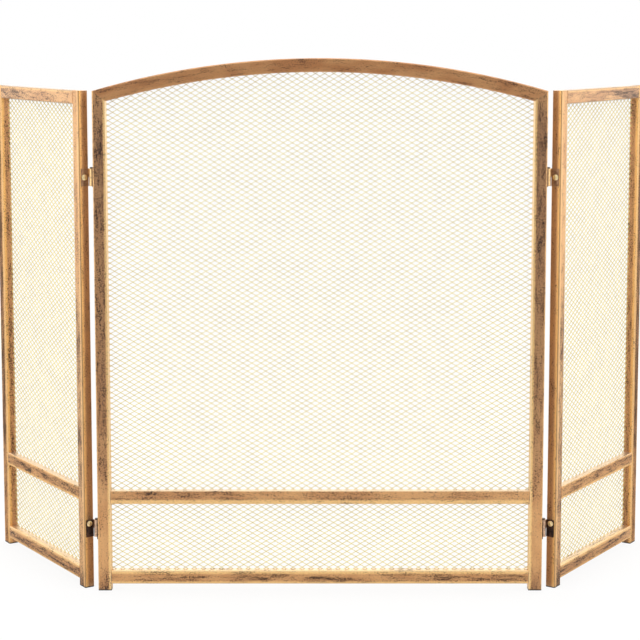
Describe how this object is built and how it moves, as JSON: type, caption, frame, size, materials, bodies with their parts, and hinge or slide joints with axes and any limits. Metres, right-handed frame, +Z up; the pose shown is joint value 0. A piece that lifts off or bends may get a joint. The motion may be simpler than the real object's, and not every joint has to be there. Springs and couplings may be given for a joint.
{
  "type": "fireplace screen",
  "caption": "Folding metal fireplace screen with an arched centre panel of expanded mesh and rectangular side panels hinged to fold back towards the fire.",
  "frame": {"origin": "on the floor, at the middle of the box of the screen as it stands with its sides folded back", "axes": "+X to the right as seen from the room, +Y towards the fire, +Z up"},
  "size_m": [0.9596, 0.2512, 0.7369],
  "materials": {
    "frame_tube": "worn copper-gold brushed over a dark brown base",
    "expanded_mesh": "satin gold paint",
    "hinge_leaf": "satin copper-brown, darker in the recesses",
    "hinge_pin": "blackened",
    "screw": "bright",
    "rivet": "satin copper-brown",
    "foot_plug": "matte black"
  },
  "bodies": {
    "centre_panel": {"centre_arch_rail": "frame_tube", "centre_bottom_rail": "frame_tube", "centre_foot_plug_left": "foot_plug", "centre_foot_plug_right": "foot_plug", "centre_mesh": "expanded_mesh", "centre_mid_rail": "frame_tube", "centre_stile_left": "frame_tube", "centre_stile_right": "frame_tube", "left_lower_hinge_fixed_leaf": "hinge_leaf", "left_lower_hinge_pin": "hinge_pin", "left_lower_hinge_rivets": "rivet", "left_upper_hinge_fixed_leaf": "hinge_leaf", "left_upper_hinge_pin": "hinge_pin", "left_upper_hinge_rivets": "rivet", "right_lower_hinge_fixed_leaf": "hinge_leaf", "right_lower_hinge_pin": "hinge_pin", "right_lower_hinge_rivets": "rivet", "right_upper_hinge_fixed_leaf": "hinge_leaf", "right_upper_hinge_pin": "hinge_pin", "right_upper_hinge_rivets": "rivet"},
    "left_panel": {"left_bottom_rail": "frame_tube", "left_inner_foot_plug": "foot_plug", "left_inner_stile": "frame_tube", "left_inner_top_cap": "frame_tube", "left_lower_hinge_moving_leaf": "hinge_leaf", "left_lower_hinge_screw": "screw", "left_mesh": "expanded_mesh", "left_mid_rail": "frame_tube", "left_outer_foot_plug": "foot_plug", "left_outer_stile": "frame_tube", "left_outer_top_cap": "frame_tube", "left_top_rail": "frame_tube", "left_upper_hinge_moving_leaf": "hinge_leaf", "left_upper_hinge_screw": "screw"},
    "right_panel": {"right_bottom_rail": "frame_tube", "right_inner_foot_plug": "foot_plug", "right_inner_stile": "frame_tube", "right_inner_top_cap": "frame_tube", "right_lower_hinge_moving_leaf": "hinge_leaf", "right_lower_hinge_screw": "screw", "right_mesh": "expanded_mesh", "right_mid_rail": "frame_tube", "right_outer_foot_plug": "foot_plug", "right_outer_stile": "frame_tube", "right_outer_top_cap": "frame_tube", "right_top_rail": "frame_tube", "right_upper_hinge_moving_leaf": "hinge_leaf", "right_upper_hinge_screw": "screw"}
  },
  "joints": [
    {"name": "left_fold", "type": "hinge", "parent": "centre_panel", "child": "left_panel", "pos_m": [-0.3115, -0.10858, 0], "axis": [0, 0, -1], "range_deg": [-56.8, 123.2]},
    {"name": "right_fold", "type": "hinge", "parent": "centre_panel", "child": "right_panel", "pos_m": [0.3115, -0.10858, 0], "axis": [0, 0, 1], "range_deg": [-56.8, 123.2]}
  ]
}
